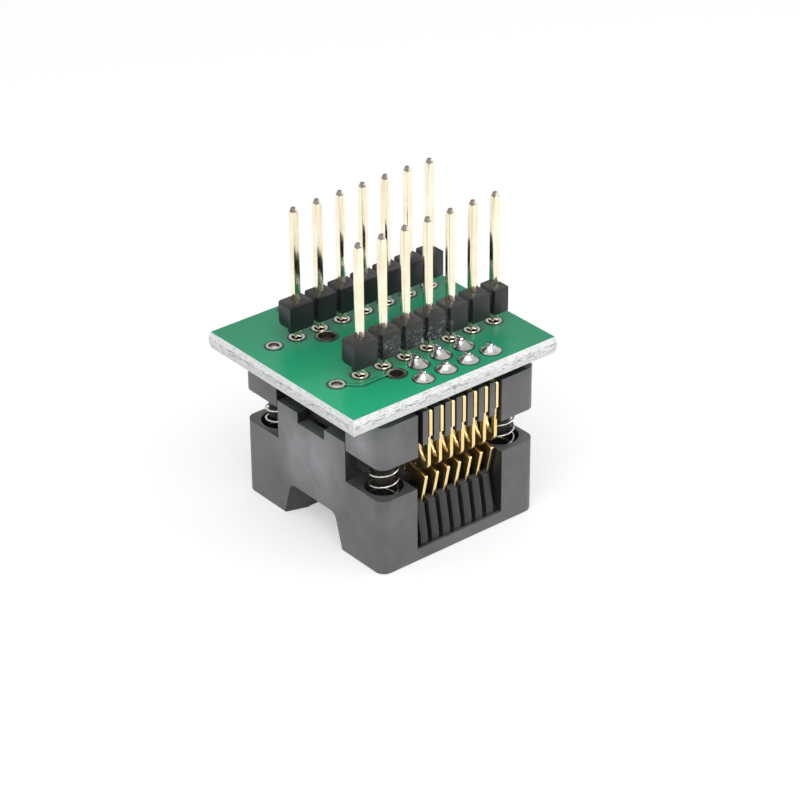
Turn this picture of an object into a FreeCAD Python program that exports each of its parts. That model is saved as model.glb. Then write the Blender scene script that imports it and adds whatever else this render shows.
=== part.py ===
import FreeCAD, Part

import math
import os

# A programming adapter for small-outline chips, stored as it stands on a table: the pins that
# plug into a programmer point up, the printed board lies in the middle, the chip socket hangs
# below it, and the socket's sprung cover stands on its press face. Millimetres, +Z up, X along
# the pin rows. The origin is on the table, under the middle of the board.

# Board, bevelled top and bottom where its scored panel was snapped
board_length = 22.95
board_width = 20.55
board_thickness = 1.6
board_web = 0.5
board_bevel_in = 0.14

# Two rows of square pins
pin_pitch = 2.54
pin_count = 7
holes_per_row = 8
row_spacing = 8.89
hole_field_x = 0.26
pin_width = 0.64
pin_above_strip = 8.95
pin_below_board = 0.6
pin_tip_length = 0.6
pin_tip_width = 0.3

# Moulded strips that carry the pins, cut from longer ones: front is the side with the deeper wall
strip_front = 1.25
strip_back = 0.78
strip_height = 2.42
strip_lift = 1.36
strip_left_end = 1.6
strip_right_end = 0.6
strip_notch_width = 0.57
strip_notch_depth = 0.4
strip_back_bevel = 0.35
strip_groove = 0.2
strip_foot_length = 0.4
strip_foot_height = 0.5

# Plated holes and solder
copper_thickness = 0.05
barrel_wall = 0.05
pin_hole_diameter = 1.0
pin_pad_diameter = 1.44
tail_hole_diameter = 1.2
tail_pad_diameter = 1.7
post_hole_diameter = 1.6
post_pad_diameter = 1.86
joint_height = 0.5
joint_top_radius = 0.36
joint_base_radius = 0.93
joint_bow = 0.2
underside_joint_height = 0.45
underside_joint_radius = 0.42
plug_dip = 0.12
trace_width = 0.34
trace_drop = 0.57

# Socket as a whole: eight contact positions a side, the first one empty
contact_pitch = 1.27
contact_positions = 8
socket_end_length = 4.43
socket_length = (contact_positions - 1) * contact_pitch + 2 * socket_end_length
socket_width = 19.7
socket_corner_radius = 1.03
socket_shift_y = 0.275
slide_clearance = 0.1

# Heights above the table
cover_corner_height = 7.52
base_underside = 10.7
base_height = 4.22
base_to_board_gap = 0.95

# Socket base
base_plate_thickness = 2.3
window_margin = 0.335
comb_bar_width = 0.62
comb_bar_recess = 0.13
comb_bar_depth = 1.35
comb_bar_height = 3.37
seat_height = 9.6
seat_length = 10.6
seat_width = 6.2
seat_stop_thickness = 0.45
seat_stop_drop = 0.9
nose_reach = 0.75
nose_slot_depth = 0.9
nose_slot_height = 1.6
inner_comb_thickness = 0.4
inner_comb_bottom = 5.95
inner_comb_slot_bottom = 7.1
base_rib_thickness = 1.2
boss_diameter = 2.0
boss_length = 2.6
post_diameter = 1.45
post_below_board_top = 0.45
post_x = 4.9
post_y = 2.58
foot_pad_diameter = 1.8

# Socket cover
cover_floor = 1.0
cover_sill = 1.27
cover_sill_thickness = 0.3
cover_window_margin = 0.435
cover_opening_length = 13.3
cover_opening_width = 7.2
cover_edge_round = 0.18
guide_wall_height = 4.4
guide_wall_thickness = 0.8
fin_width = 0.8
fin_recess = 0.35
fin_knee_height = 2.12
fin_height = 5.3
fin_top_setback = 0.58
fin_top_depth = 0.8
fin_foot_depth = 2.9
cam_height = 3.6
tongue_width = 9.66
tongue_height = 11.45
tongue_thickness = 1.2
tongue_notch_width = 3.8
tongue_notch_depth = 1.05
finger_notch_base = 8.4
finger_notch_top = 6.4
finger_notch_height = 3.5
finger_notch_round = 0.8
finger_notch_flare = 0.7

# Coil springs in the four corners
spring_inset_x = 2.19
spring_inset_y = 2.4
spring_wire = 0.2
spring_outer_diameter = 2.75
spring_pitch = 1.1
spring_turned = (264, 290, 236, 40)
spring_points = 16
spring_pocket_diameter = 3.5
spring_pocket_floor = 1.2

# Stamped contacts, each a flat spring cut from sheet and set edge on
sheet = 0.34
leg_recess = 0.19
leg_width = 0.76
leg_height = 2.71
arm_width = 0.58
arm_step = 0.21
loop_arm_width = 0.3
loop_outer_width = 1.68
loop_bottom = 8.45
loop_lean = -6
hollow_bend_in = 1.06
hollow_bend_up = 1.3
hollow_foot_drop = 0.15
hollow_radius = 1.5
inner_arm_elbow = 10.4
inner_arm_top = 11.0
return_bend_radius = 0.725
foot_bar_height = 0.7
foot_bar_below_top = 0.52
tail_width = 0.6
tail_above_board = 0.68
tail_row_inner = 6.53
tail_row_outer = 8.71
tail_lean = 0.12

# Places that follow from the sizes above
base_top = base_underside + base_height
board_bottom = base_top + base_to_board_gap
board_top = board_bottom + board_thickness
strip_bottom = board_top + strip_lift
strip_top = strip_bottom + strip_height
pin_top = strip_top + pin_above_strip
hole_span = (holes_per_row - 1) * pin_pitch
first_hole_x = hole_field_x - hole_span / 2
socket_x = hole_field_x + contact_pitch / 2
socket_y = socket_shift_y
half_length = socket_length / 2
half_width = socket_width / 2
contact_span = (contact_positions - 1) * contact_pitch
window_width = contact_span + 2 * window_margin
cover_window_width = contact_span + 2 * cover_window_margin
leg_face = half_width - leg_recess
leg_top = base_top - 0.12
leg_bottom = leg_top - leg_height
contact_slot = contact_pitch - comb_bar_width
comb_inner = tail_row_inner - tail_lean - tail_width / 2 - slide_clearance
spring_x = half_length - spring_inset_x
spring_y = half_width - spring_inset_y


def vec(x, y, z):
    return FreeCAD.Vector(x, y, z)


def block(x0, x1, y0, y1, z0, z1):
    return Part.makeBox(x1 - x0, y1 - y0, z1 - z0, vec(x0, y0, z0))


def centred_block(length, width, z0, z1, x=0.0, y=0.0):
    return block(x - length / 2, x + length / 2, y - width / 2, y + width / 2, z0, z1)


def cylinder(diameter, z0, z1, x, y):
    return Part.makeCylinder(diameter / 2, z1 - z0, vec(x, y, z0))


def fuse_all(shapes):
    return shapes[0].fuse(shapes[1:]).removeSplitter()


def outline_edges(points, place):
    """Closed outline through (a, b, radius) corners, each corner rounded by its own arc."""
    starts, ends, arcs = [], [], []
    count = len(points)
    for i, (a, b, radius) in enumerate(points):
        before, after = points[i - 1], points[(i + 1) % count]
        back = FreeCAD.Vector(before[0] - a, before[1] - b, 0).normalize()
        ahead = FreeCAD.Vector(after[0] - a, after[1] - b, 0).normalize()
        corner = FreeCAD.Vector(a, b, 0)
        if radius == 0:
            starts.append(corner)
            ends.append(corner)
            arcs.append(None)
            continue
        half_angle = back.getAngle(ahead) / 2
        reach = radius / math.tan(half_angle)
        inward = (back + ahead).normalize()
        starts.append(corner + back * reach)
        ends.append(corner + ahead * reach)
        arcs.append(corner + inward * (radius / math.sin(half_angle) - radius))
    edges = []
    for i in range(count):
        if arcs[i] is not None:
            three = [place(p.x, p.y) for p in (starts[i], arcs[i], ends[i])]
            edges.append(Part.Arc(*three).toShape())
        following = starts[(i + 1) % count]
        if (following - ends[i]).Length > 1e-6:
            edges.append(Part.makeLine(place(ends[i].x, ends[i].y), place(following.x, following.y)))
    return edges


def flat_prism(points, place, direction):
    return Part.Face(Part.Wire(outline_edges(points, place))).extrude(direction)


def plan_prism(points, z0, z1):
    """Prism over an outline drawn from above."""
    return flat_prism(points, lambda a, b: vec(a, b, z0), vec(0, 0, z1 - z0))


def side_prism(points, x_mid, thickness, side):
    """Prism across X over an outline of (distance out from the socket's middle, height)."""
    x0 = x_mid - thickness / 2
    return flat_prism(points, lambda a, b: vec(x0, socket_y + side * a, b), vec(thickness, 0, 0))


def end_prism(points, x0, x1):
    """Prism along X over an outline of (Y from the socket's middle, height)."""
    return flat_prism(points, lambda a, b: vec(x0, socket_y + a, b), vec(x1 - x0, 0, 0))


def rectangle(half_a, half_b, radius):
    return [(-half_a, -half_b, radius), (half_a, -half_b, radius),
            (half_a, half_b, radius), (-half_a, half_b, radius)]


def socket_block(z0, z1):
    """The socket's rounded rectangular plan, between two heights."""
    outline = [(socket_x + a, socket_y + b, r) for a, b, r in
               rectangle(half_length, half_width, socket_corner_radius)]
    return plan_prism(outline, z0, z1)


def around_socket(x0, x1, y0, y1, z0, z1):
    return block(socket_x + x0, socket_x + x1, socket_y + y0, socket_y + y1, z0, z1)


def middle_of_socket(length, width, z0, z1):
    return centred_block(length, width, z0, z1, socket_x, socket_y)


def four_corners(x, y):
    return [(socket_x + a * x, socket_y + b * y) for a in (-1, 1) for b in (-1, 1)]


def row_y(row):
    return (row - 0.5) * row_spacing


def pin_x(index):
    return first_hole_x + (holes_per_row - pin_count + index) * pin_pitch


def contact_x(index):
    return socket_x - contact_span / 2 + index * contact_pitch


def tail_row(index, side):
    """Tails are staggered, and the far side is the near side turned half round."""
    outer = (index % 2 == 1) if side < 0 else (index % 2 == 0)
    return tail_row_outer if outer else tail_row_inner


def tail_places():
    return [(contact_x(i), socket_y + side * tail_row(i, side), i, side)
            for side in (-1, 1) for i in range(contact_positions)]


def post_places():
    return [(socket_x - post_x, socket_y + post_y), (socket_x + post_x, socket_y - post_y)]


def pin_hole_places():
    return [(first_hole_x + i * pin_pitch, row_y(row)) for row in (0, 1) for i in range(holes_per_row)]


def square_wire(width, x, y, z):
    h = width / 2
    corners = [vec(x - h, y - h, z), vec(x + h, y - h, z), vec(x + h, y + h, z), vec(x - h, y + h, z)]
    return Part.makePolygon(corners + corners[:1])


def rectangle_wire(length, width, z):
    a, b = length / 2, width / 2
    corners = [vec(-a, -b, z), vec(a, -b, z), vec(a, b, z), vec(-a, b, z)]
    return Part.makePolygon(corners + corners[:1])


def board_blank():
    bevel = (board_thickness - board_web) / 2
    inset = 2 * board_bevel_in
    wires = [rectangle_wire(board_length - inset, board_width - inset, board_bottom),
             rectangle_wire(board_length, board_width, board_bottom + bevel),
             rectangle_wire(board_length, board_width, board_top - bevel),
             rectangle_wire(board_length - inset, board_width - inset, board_top)]
    return Part.makeLoft(wires, True, True)


def trace_ridge():
    """Copper track under the green lacquer, from the spare pin hole to the empty tail hole."""
    start_x, start_y = pin_hole_places()[0]
    end_x, end_y = tail_places()[0][:2]
    h = trace_width / 2
    run_y = (start_y + end_y) / 2 - trace_drop
    reach = start_y - run_y
    route = [(start_x, start_y, 0), (start_x + reach, run_y, 0), (end_x, run_y, 0)]
    upper = [(x + h * 0.4, y + h, 0) for x, y, _ in route]
    lower = [(x - h * 0.4, y - h, 0) for x, y, _ in reversed(route)]
    return plan_prism(upper + lower, board_top - copper_thickness, board_top + copper_thickness)


def circuit_board():
    board = board_blank().fuse(trace_ridge())
    through = (board_bottom - 1, board_top + 1)
    holes = [cylinder(pin_hole_diameter + 2 * barrel_wall, *through, x, y) for x, y in pin_hole_places()]
    holes += [cylinder(tail_hole_diameter + 2 * barrel_wall, *through, p[0], p[1]) for p in tail_places()]
    holes += [cylinder(post_hole_diameter + 2 * barrel_wall, *through, x, y) for x, y in post_places()]
    pads = [cylinder(pin_pad_diameter, board_top, through[1], x, y) for x, y in pin_hole_places()]
    pads += [cylinder(tail_pad_diameter, board_top, through[1], p[0], p[1]) for p in tail_places()]
    return board.cut(holes + pads).removeSplitter()


def plated_hole(hole, pad, x, y):
    body = cylinder(hole + 2 * barrel_wall, board_bottom, board_top, x, y)
    rings = [cylinder(pad, board_top, board_top + copper_thickness, x, y),
             cylinder(pad, board_bottom - copper_thickness, board_bottom, x, y)]
    bore = cylinder(hole, board_bottom - 1, board_top + 1, x, y)
    return body.fuse(rings).removeSplitter().cut(bore)


def plated_holes():
    shapes = [plated_hole(pin_hole_diameter, pin_pad_diameter, x, y) for x, y in pin_hole_places()]
    shapes += [plated_hole(tail_hole_diameter, tail_pad_diameter, p[0], p[1]) for p in tail_places()]
    shapes += [plated_hole(post_hole_diameter, post_pad_diameter, x, y) for x, y in post_places()]
    return Part.makeCompound(shapes)


def header_pin(x, y):
    h0, h1 = board_bottom - pin_below_board, pin_top
    sections = [square_wire(pin_tip_width, x, y, h0),
                square_wire(pin_width, x, y, h0 + pin_tip_length / 2),
                square_wire(pin_width, x, y, h1 - pin_tip_length),
                square_wire(pin_tip_width, x, y, h1)]
    return Part.makeLoft(sections, True, True)


def header_strip(row):
    """Seven joined units, with an upright notch in front and a shallow groove on top between them."""
    y = row_y(row)
    front_y, back_y = y - strip_front, y + strip_back
    half = strip_notch_width / 2
    x0 = pin_x(0) - strip_left_end
    x1 = pin_x(pin_count - 1) + strip_right_end
    grooves = [pin_x(i) + pin_pitch / 2 for i in range(pin_count - 1)]
    front = [(x0, front_y, 0)]
    for groove in grooves:
        front += [(groove - half, front_y, 0), (groove - half, front_y + strip_notch_depth, 0),
                  (groove + half, front_y + strip_notch_depth, 0), (groove + half, front_y, 0)]
    back = [(x1, front_y, 0), (x1, back_y, 0)]
    for groove in reversed(grooves):
        back += [(groove + strip_back_bevel, back_y, 0), (groove, back_y - strip_back_bevel, 0),
                 (groove - strip_back_bevel, back_y, 0)]
    back += [(x0 + strip_back_bevel, back_y, 0), (x0, back_y - strip_back_bevel, 0)]
    strip = plan_prism(front + back, strip_bottom, strip_top)
    foot_top = strip_bottom + strip_foot_height
    cuts = [block(x0 - 1, x0 + strip_foot_length, front_y + strip_notch_depth, back_y + 1,
                  strip_bottom - 1, foot_top)]
    for i in range(pin_count):
        cuts.append(centred_block(pin_width, pin_width, strip_bottom - 1, strip_top + 1, pin_x(i), y))
    for groove in grooves:
        cuts.append(block(groove - half, groove + half, front_y - 1, back_y + 1, strip_bottom - 1, foot_top))
        wedge = [vec(groove + side * strip_groove, front_y - 1, strip_top) for side in (-1, 1)]
        wedge.insert(1, vec(groove, front_y - 1, strip_top - strip_groove))
        face = Part.Face(Part.makePolygon(wedge + wedge[:1]))
        cuts.append(face.extrude(vec(0, back_y - front_y + 2, 0)))
    return strip.cut(cuts)


def solder_cone(x, y):
    """Solder drawn up a tail in a concave cone, with the plated hole full below it."""
    base = board_top + copper_thickness
    bottom = board_bottom
    bow = vec(joint_top_radius + joint_bow, 0, base + joint_height / 2)
    edges = [Part.makeLine(vec(0, 0, bottom), vec(tail_hole_diameter / 2, 0, bottom)),
             Part.makeLine(vec(tail_hole_diameter / 2, 0, bottom), vec(tail_hole_diameter / 2, 0, base)),
             Part.makeLine(vec(tail_hole_diameter / 2, 0, base), vec(joint_base_radius, 0, base)),
             Part.Arc(vec(joint_base_radius, 0, base), bow,
                      vec(joint_top_radius, 0, base + joint_height)).toShape(),
             Part.makeLine(vec(joint_top_radius, 0, base + joint_height), vec(0, 0, base + joint_height)),
             Part.makeLine(vec(0, 0, base + joint_height), vec(0, 0, bottom))]
    cone = Part.Face(Part.Wire(edges)).revolve(vec(0, 0, 0), vec(0, 0, 1), 360)
    cone.translate(vec(x, y, 0))
    return cone


def tail_block(index, side):
    y = socket_y + side * (tail_row(index, side) - tail_lean)
    return centred_block(sheet, tail_width, leg_top - foot_bar_below_top - foot_bar_height,
                         board_top + tail_above_board, contact_x(index), y)


def tail_solder():
    joints = []
    for x, y, index, side in tail_places():
        if index > 0:
            joints.append(solder_cone(x, y).cut(tail_block(index, side)))
    return Part.makeCompound(joints)


def pin_solder():
    """Solder under the board round each pin, and a plug in each spare hole."""
    shapes = []
    top = board_bottom - copper_thickness
    for x, y in pin_hole_places():
        if x > first_hole_x + pin_pitch / 2:
            cone = Part.makeCone(underside_joint_radius, pin_pad_diameter / 2, underside_joint_height,
                                 vec(x, y, top - underside_joint_height))
            shapes.append(cone.cut(header_pin(x, y)))
        else:
            shapes.append(cylinder(pin_hole_diameter, board_bottom, board_top - plug_dip, x, y))
    return Part.makeCompound(shapes)


def arm(u0, z0, u1, z1, width, x_mid, side):
    """Straight stretch of a stamped strip between two points of its middle line."""
    length = math.hypot(u1 - u0, z1 - z0)
    across_u = -(z1 - z0) / length * width / 2
    across_z = (u1 - u0) / length * width / 2
    points = [(u0 + across_u, z0 + across_z, 0), (u1 + across_u, z1 + across_z, 0),
              (u1 - across_u, z1 - across_z, 0), (u0 - across_u, z0 - across_z, 0)]
    return side_prism(points, x_mid, sheet, side)


def bend(u, z, radius, width, start, end, x_mid, side):
    """Curved stretch of a stamped strip, as a sector of a ring; angles in degrees from outward."""
    x0 = x_mid - sheet / 2

    def at(r, degrees):
        t = math.radians(degrees)
        return vec(x0, socket_y + side * (u + r * math.cos(t)), z + r * math.sin(t))

    outer, inner, middle = radius + width / 2, radius - width / 2, (start + end) / 2
    edges = [Part.Arc(at(outer, start), at(outer, middle), at(outer, end)).toShape(),
             Part.makeLine(at(outer, end), at(inner, end)),
             Part.Arc(at(inner, end), at(inner, middle), at(inner, start)).toShape(),
             Part.makeLine(at(inner, start), at(outer, start))]
    return Part.Face(Part.Wire(edges)).extrude(vec(sheet, 0, 0))


def rocker(x_mid, side):
    """Swinging end of a contact: the finger that the cover pushes, and the nose that holds a lead."""
    corner_u, corner_z = leg_face - 0.58, loop_bottom - 0.7
    tip_u, tip_z = corner_u - 0.88, cam_height + 0.8
    nose_u, nose_z = seat_width / 2 - nose_reach + 0.4, seat_height - 0.1
    points = [(corner_u, corner_z, 0.18),
              (corner_u - 2.45, corner_z + 0.66, 0),
              (corner_u - 3.9, corner_z + 0.68, 0.8),
              (nose_u + 0.45, nose_z - 0.35, 0.4),
              (nose_u + 0.1, nose_z, 0.12),
              (nose_u - 0.4, nose_z - 0.25, 0.12),
              (nose_u + 0.4, nose_z - 1.2, 0.6),
              (corner_u - 3.9, corner_z - 0.15, 0.8),
              (corner_u - 1.4, corner_z - 0.75, 0.4),
              (tip_u - 0.25, tip_z + 0.9, 0.6),
              (tip_u - 0.1, tip_z, 0.12),
              (tip_u + 0.14, tip_z, 0.1)]
    return side_prism(points, x_mid, sheet, side)


def contact(index, side):
    x = contact_x(index)
    tail_u = tail_row(index, side) - tail_lean
    outer_face = leg_face - arm_step
    loop_radius = (loop_outer_width - loop_arm_width) / 2
    loop_u, loop_z = outer_face - loop_outer_width / 2, loop_bottom + loop_outer_width / 2
    lean = math.radians(loop_lean)
    lean_u, lean_z = loop_u - loop_radius * math.cos(lean), loop_z - loop_radius * math.sin(lean)
    inner_arm = lean_u - (inner_arm_elbow - lean_z) * math.tan(lean)
    return_u = inner_arm - return_bend_radius
    drop_arm = return_u - return_bend_radius
    foot_top = leg_top - foot_bar_below_top
    rocker_z = loop_bottom - 0.4
    along_loop = [(loop_u + loop_radius * math.cos(math.radians(a)),
                   loop_z + loop_radius * math.sin(math.radians(a)), 0) for a in range(0, -181, -30)]
    edge_of_hollow = [(inner_arm, inner_arm_elbow, 0), (inner_arm + loop_arm_width / 2, inner_arm_elbow, 0),
                      (outer_face - hollow_bend_in, loop_bottom + hollow_bend_up, hollow_radius),
                      (outer_face - loop_arm_width, loop_z - hollow_foot_drop, 0)]
    parts = [side_prism([(leg_face - leg_width, leg_bottom, 0), (leg_face, leg_bottom, 0.1),
                         (leg_face, leg_top, 0.25), (leg_face - leg_width, leg_top, 0.25)], x, sheet, side),
             side_prism([(tail_u - tail_width / 2, foot_top - foot_bar_height, 0),
                         (leg_face - 0.1, foot_top - foot_bar_height, 0),
                         (leg_face - 0.1, foot_top, 0), (tail_u - tail_width / 2, foot_top, 0)],
                        x, sheet, side),
             tail_block(index, side),
             side_prism([(outer_face, loop_z, 0), (outer_face, leg_bottom + 0.3, 0),
                         (outer_face - arm_width, leg_bottom + 0.3, 0),
                         (outer_face - loop_arm_width, loop_z, 0)], x, sheet, side),
             bend(loop_u, loop_z, loop_radius, loop_arm_width, loop_lean - 180, 0, x, side),
             side_prism(along_loop + edge_of_hollow, x, sheet, side),
             arm(lean_u, lean_z, inner_arm, inner_arm_elbow, loop_arm_width, x, side),
             arm(inner_arm, inner_arm_elbow - 0.1, inner_arm, inner_arm_top, loop_arm_width, x, side),
             bend(return_u, inner_arm_top, return_bend_radius, loop_arm_width, 0, 180, x, side),
             arm(drop_arm, inner_arm_top, drop_arm, rocker_z, loop_arm_width, x, side),
             rocker(x, side)]
    return fuse_all(parts)


def coil_spring(x, y, turned):
    """One spring from its pocket in the cover to its seat on the base, with closed end turns."""
    radius = (spring_outer_diameter - spring_wire) / 2
    low = spring_pocket_floor + spring_wire / 2
    height = base_underside - spring_wire / 2 - low
    closed = spring_wire * 1.2
    open_turns = round((height - 2 * closed) / spring_pitch)
    rise = (height - 2 * closed) / open_turns
    points = []
    for i in range((open_turns + 2) * spring_points + 1):
        t = i / spring_points
        climb = min(t, 1.0) * closed + min(max(t - 1.0, 0.0), open_turns) * rise
        climb += max(t - 1.0 - open_turns, 0.0) * closed
        angle = 2 * math.pi * t + math.radians(turned)
        points.append(vec(x + radius * math.cos(angle), y + radius * math.sin(angle), low + climb))
    curve = Part.BSplineCurve()
    curve.interpolate(points)
    tangent = curve.tangent(curve.FirstParameter)[0]
    ring = Part.Wire(Part.makeCircle(spring_wire / 2, points[0], tangent))
    return Part.Wire(curve.toShape()).makePipeShell([ring], True, True)


def inner_comb(side):
    """Comb across the middle of a window, that keeps the contacts apart above their swinging ends."""
    y0, y1 = sorted((side * comb_inner, side * (comb_inner + inner_comb_thickness)))
    top = base_top - base_plate_thickness + inner_comb_thickness
    wall = around_socket(-window_width / 2, window_width / 2, y0, y1, inner_comb_bottom, top)
    slots = [around_socket(x - contact_slot / 2, x + contact_slot / 2, y0, y1, inner_comb_slot_bottom, top)
             for x in (contact_x(i) - socket_x for i in range(1, contact_positions))]
    return wall.cut(slots)


def socket_base():
    plate_bottom = base_top - base_plate_thickness
    bar_face = half_width - comb_bar_recess
    body = socket_block(base_underside, base_top)
    slide_width = tongue_width + 2 * slide_clearance
    slide_depth = tongue_thickness + slide_clearance
    rib_outer = half_length - slide_depth
    cuts = [around_socket(-half_length - 1, -rib_outer, -slide_width / 2, slide_width / 2, 0, base_top + 1),
            around_socket(rib_outer, half_length + 1, -slide_width / 2, slide_width / 2, 0, base_top + 1),
            middle_of_socket(2 * (rib_outer - base_rib_thickness), slide_width, 0, plate_bottom),
            middle_of_socket(window_width, socket_width + 2, 0, plate_bottom),
            around_socket(-window_width / 2, window_width / 2, -half_width - 1, -bar_face, 0, base_top + 1),
            around_socket(-window_width / 2, window_width / 2, bar_face, half_width + 1, 0, base_top + 1)]
    body = body.cut(cuts)
    adds = [middle_of_socket(seat_length, seat_width, seat_height, base_top)]
    for end in (-1, 1):
        x = end * (seat_length / 2 - seat_stop_thickness / 2)
        adds.append(around_socket(x - seat_stop_thickness / 2, x + seat_stop_thickness / 2,
                                  -seat_width / 2, seat_width / 2, seat_height - seat_stop_drop, seat_height))
    for side in (-1, 1):
        y0, y1 = sorted((side * (bar_face - comb_bar_depth), side * bar_face))
        adds.append(around_socket(-window_width / 2, window_width / 2, y0, y1, base_top - comb_bar_height, base_top))
    for x, y in four_corners(spring_x, spring_y):
        adds.append(cylinder(boss_diameter, base_underside - boss_length, base_underside, x, y))
    for x, y in four_corners(half_length - 1.4, half_width - 1.6):
        adds.append(cylinder(foot_pad_diameter, base_top, board_bottom, x, y))
    for x, y in post_places():
        adds.append(cylinder(post_diameter, base_top, board_top - post_below_board_top, x, y))
    body = fuse_all([body] + adds)
    slots = []
    for side in (-1, 1):
        y0, y1 = sorted((side * comb_inner, side * (half_width + 1)))
        for i in range(contact_positions):
            x = contact_x(i) - socket_x
            slots.append(around_socket(x - contact_slot / 2, x + contact_slot / 2, y0, y1, 0, base_top + 1))
            n0, n1 = sorted((side * (seat_width / 2 - nose_slot_depth), side * (seat_width / 2 + 1)))
            slots.append(around_socket(x - contact_slot / 2, x + contact_slot / 2, n0, n1,
                                       0, seat_height + nose_slot_height))
    return fuse_all([body.cut(slots), inner_comb(-1), inner_comb(1)])


def fin_outline():
    front = half_width - fin_recess
    top = front - fin_top_setback
    return [(front, 0, 0), (front, fin_knee_height, 0), (top, fin_height, 0.3),
            (top - fin_top_depth, fin_height, 0.3), (front - fin_foot_depth, cover_floor + 0.6, 0.3),
            (front - fin_foot_depth, 0, 0)]


def cam_outline():
    front = half_width - fin_recess
    return [(front - 0.3, 0, 0), (front - 0.3, cover_floor + 0.2, 0), (front - 2.1, cam_height, 0.3),
            (front - fin_foot_depth, cover_floor + 0.5, 0), (front - fin_foot_depth, 0, 0)]


def finger_notch(end):
    """Saddle cut through an end wall, wider outside than inside, for the tweezers' tips."""
    outside, inside = half_length, cover_opening_length / 2
    base, top = finger_notch_base / 2, finger_notch_top / 2
    slope = (base - top) / finger_notch_height

    def section(x, narrower):
        points = [(-base + narrower - slope, -1, 0), (base - narrower + slope, -1, 0),
                  (top - narrower, finger_notch_height, finger_notch_round),
                  (-top + narrower, finger_notch_height, finger_notch_round)]
        place = lambda a, b: vec(socket_x + end * x, socket_y + a, b)
        return Part.Wire(outline_edges(points, place))

    reach = 0.5
    spread = finger_notch_flare * reach / (outside - inside)
    wires = [section(inside - reach, finger_notch_flare + spread), section(outside + reach, -spread)]
    return Part.makeLoft(wires, True, True)


def socket_cover():
    outline = [(socket_x + a, socket_y + b, r) for a, b, r in
               rectangle(half_length, half_width, socket_corner_radius)]
    body = plan_prism(outline, 0, cover_corner_height)
    rim = [e for e in body.Edges if e.BoundBox.ZMax < 0.01]
    body = body.makeFillet(cover_edge_round, rim)
    window = cover_window_width / 2
    inside = cover_opening_length / 2
    sill_inner = half_width - cover_sill_thickness
    open_top = cover_corner_height + 1
    cuts = [around_socket(-window, window, -half_width - 1, half_width + 1, cover_sill, open_top),
            around_socket(-window, window, -sill_inner, sill_inner, cover_floor, open_top),
            around_socket(-inside, inside, -tongue_width / 2, tongue_width / 2, cover_floor, open_top),
            middle_of_socket(cover_opening_length, cover_opening_width, -1, open_top)]
    body = body.cut(cuts)
    adds = []
    for end in (-1, 1):
        x0, x1 = sorted((end * (half_length - tongue_thickness), end * half_length))
        tongue = around_socket(x0, x1, -tongue_width / 2, tongue_width / 2, cover_floor, tongue_height)
        gap = around_socket(x0 - 1, x1 + 1, -tongue_notch_width / 2, tongue_notch_width / 2,
                            tongue_height - tongue_notch_depth, tongue_height + 1)
        adds.append(tongue.cut(gap))
    for side in (-1, 1):
        for i in range(contact_positions - 1):
            adds.append(side_prism(fin_outline(), contact_x(i) + contact_pitch / 2, fin_width, side))
        adds.append(side_prism(cam_outline(), socket_x, cover_window_width, side))
        wall = cover_opening_width / 2
        y0, y1 = sorted((side * wall, side * (wall + guide_wall_thickness)))
        adds.append(around_socket(-inside - 0.5, inside + 0.5, y0, y1, cover_floor / 2, guide_wall_height))
    body = fuse_all([body] + adds)
    pockets = [cylinder(spring_pocket_diameter, spring_pocket_floor, open_top, x, y)
               for x, y in four_corners(spring_x, spring_y)]
    return body.cut(pockets + [finger_notch(-1), finger_notch(1)]).removeSplitter()


def build():
    nodes = {"circuit_board": circuit_board(), "plated_holes": plated_holes(),
             "tail_solder": tail_solder(), "pin_solder": pin_solder(),
             "header_strip_near": header_strip(0), "header_strip_far": header_strip(1),
             "socket_base": socket_base(), "socket_cover": socket_cover()}
    for row, name in enumerate(("near", "far")):
        for i in range(pin_count):
            nodes["header_pin_%s_%d" % (name, i + 1)] = header_pin(pin_x(i), row_y(row))
    for side, name in ((-1, "near"), (1, "far")):
        for i in range(1, contact_positions):
            nodes["contact_%s_%d" % (name, i)] = contact(i, side)
    for i, (x, y) in enumerate(four_corners(spring_x, spring_y)):
        nodes["coil_spring_%d" % (i + 1)] = coil_spring(x, y, spring_turned[i])
    return nodes


os.makedirs("parts", exist_ok=True)
for node, shape in build().items():
    shape.exportStep("parts/%s.step" % node)
    print(node, len(shape.Solids), round(shape.Volume, 3), shape.isValid())
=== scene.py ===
# %% [markdown]
# This lesson dresses a chip programming adapter: a small green circuit board with two rows of
# square plug pins above it and a sprung black chip socket hanging below. The solids come from
# the engineering model, so every size is already right. What is left is what the eye reads as
# real: softened edges, plating, grain, solder and light.

# %% Load the frame
import bpy
import bmesh
import math
from mathutils import Matrix, Vector


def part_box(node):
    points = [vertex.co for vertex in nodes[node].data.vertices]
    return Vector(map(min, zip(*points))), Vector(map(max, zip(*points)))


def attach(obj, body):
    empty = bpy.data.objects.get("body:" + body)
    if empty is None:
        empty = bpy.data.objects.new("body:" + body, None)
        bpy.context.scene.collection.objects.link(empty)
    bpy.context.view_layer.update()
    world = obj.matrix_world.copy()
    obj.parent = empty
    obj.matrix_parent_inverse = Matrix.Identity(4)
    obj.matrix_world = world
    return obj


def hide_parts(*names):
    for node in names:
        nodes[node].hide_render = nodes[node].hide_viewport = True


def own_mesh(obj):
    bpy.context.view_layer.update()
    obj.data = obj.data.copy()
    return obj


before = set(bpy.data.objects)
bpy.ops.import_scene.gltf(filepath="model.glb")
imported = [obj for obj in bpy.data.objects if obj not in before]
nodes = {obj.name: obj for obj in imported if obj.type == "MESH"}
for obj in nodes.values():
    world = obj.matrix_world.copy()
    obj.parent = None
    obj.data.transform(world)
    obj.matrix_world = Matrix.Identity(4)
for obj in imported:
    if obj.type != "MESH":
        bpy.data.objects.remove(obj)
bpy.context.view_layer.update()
MM = 0.001

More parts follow.
